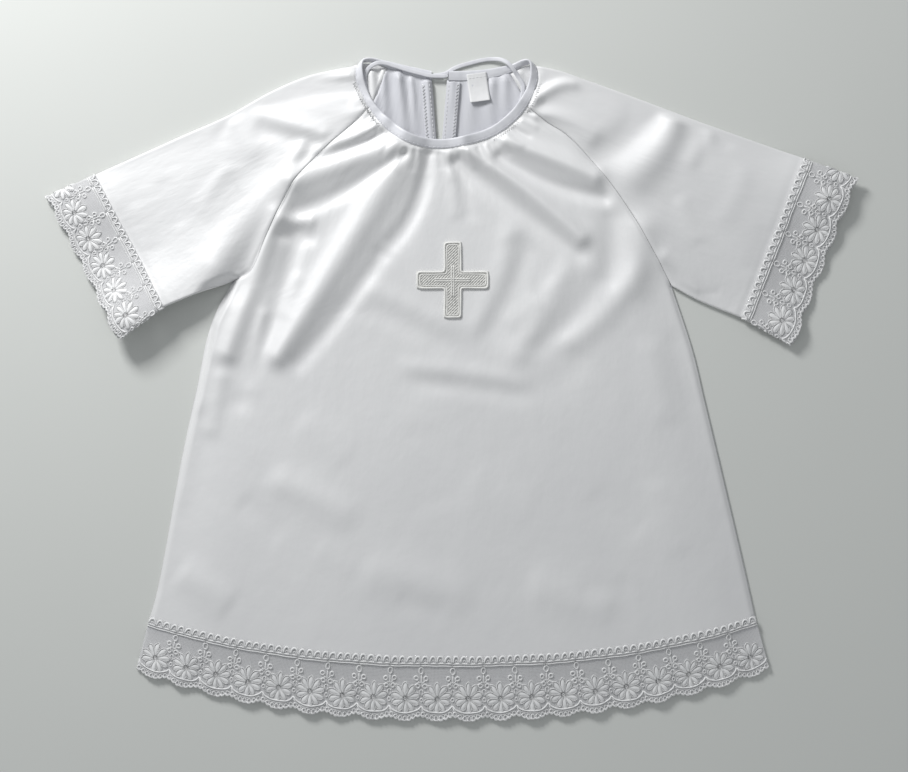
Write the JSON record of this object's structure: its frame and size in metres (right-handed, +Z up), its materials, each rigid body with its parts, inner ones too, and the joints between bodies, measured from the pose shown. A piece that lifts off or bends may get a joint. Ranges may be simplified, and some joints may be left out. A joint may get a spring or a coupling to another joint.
{
  "type": "baptismal shirt",
  "caption": "Child's white satin baptismal shirt laid flat, raglan sleeves, gathered bound neck with back slit and ties, embroidered cross, lace round cuffs and hem.",
  "frame": {"origin": "under the middle of the flat shirt's outline, on the surface that it lies on", "axes": "+X across the shirt from the left sleeve to the right one as seen from above, +Y from hem to neck, +Z up out of the front"},
  "size_m": [0.5682, 0.4655, 0.014],
  "materials": {
    "satin": "white satin, fine weave, soft directional sheen",
    "lace": "white embroidered net lace, sheer ground with raised thread flowers, rings and scallops",
    "binding": "white satin bias tape, folded, faintly cooler than the cloth",
    "cross_embroidery": "silver-grey thread embroidery with a raised cord outline",
    "label": "plain white woven label, blank"
  },
  "bodies": {
    "root": {"front": "satin", "back": "satin", "sleeve_left": "satin", "sleeve_right": "satin", "cuff_lace_left": "lace", "cuff_lace_right": "lace", "hem_lace_front": "lace", "hem_lace_back": "lace", "neck_binding": "binding", "slit_facing_left": "satin", "slit_facing_right": "satin", "tie_right": "binding", "tie_left": "binding", "label": "label", "cross": "cross_embroidery"}
  },
  "joints": []
}
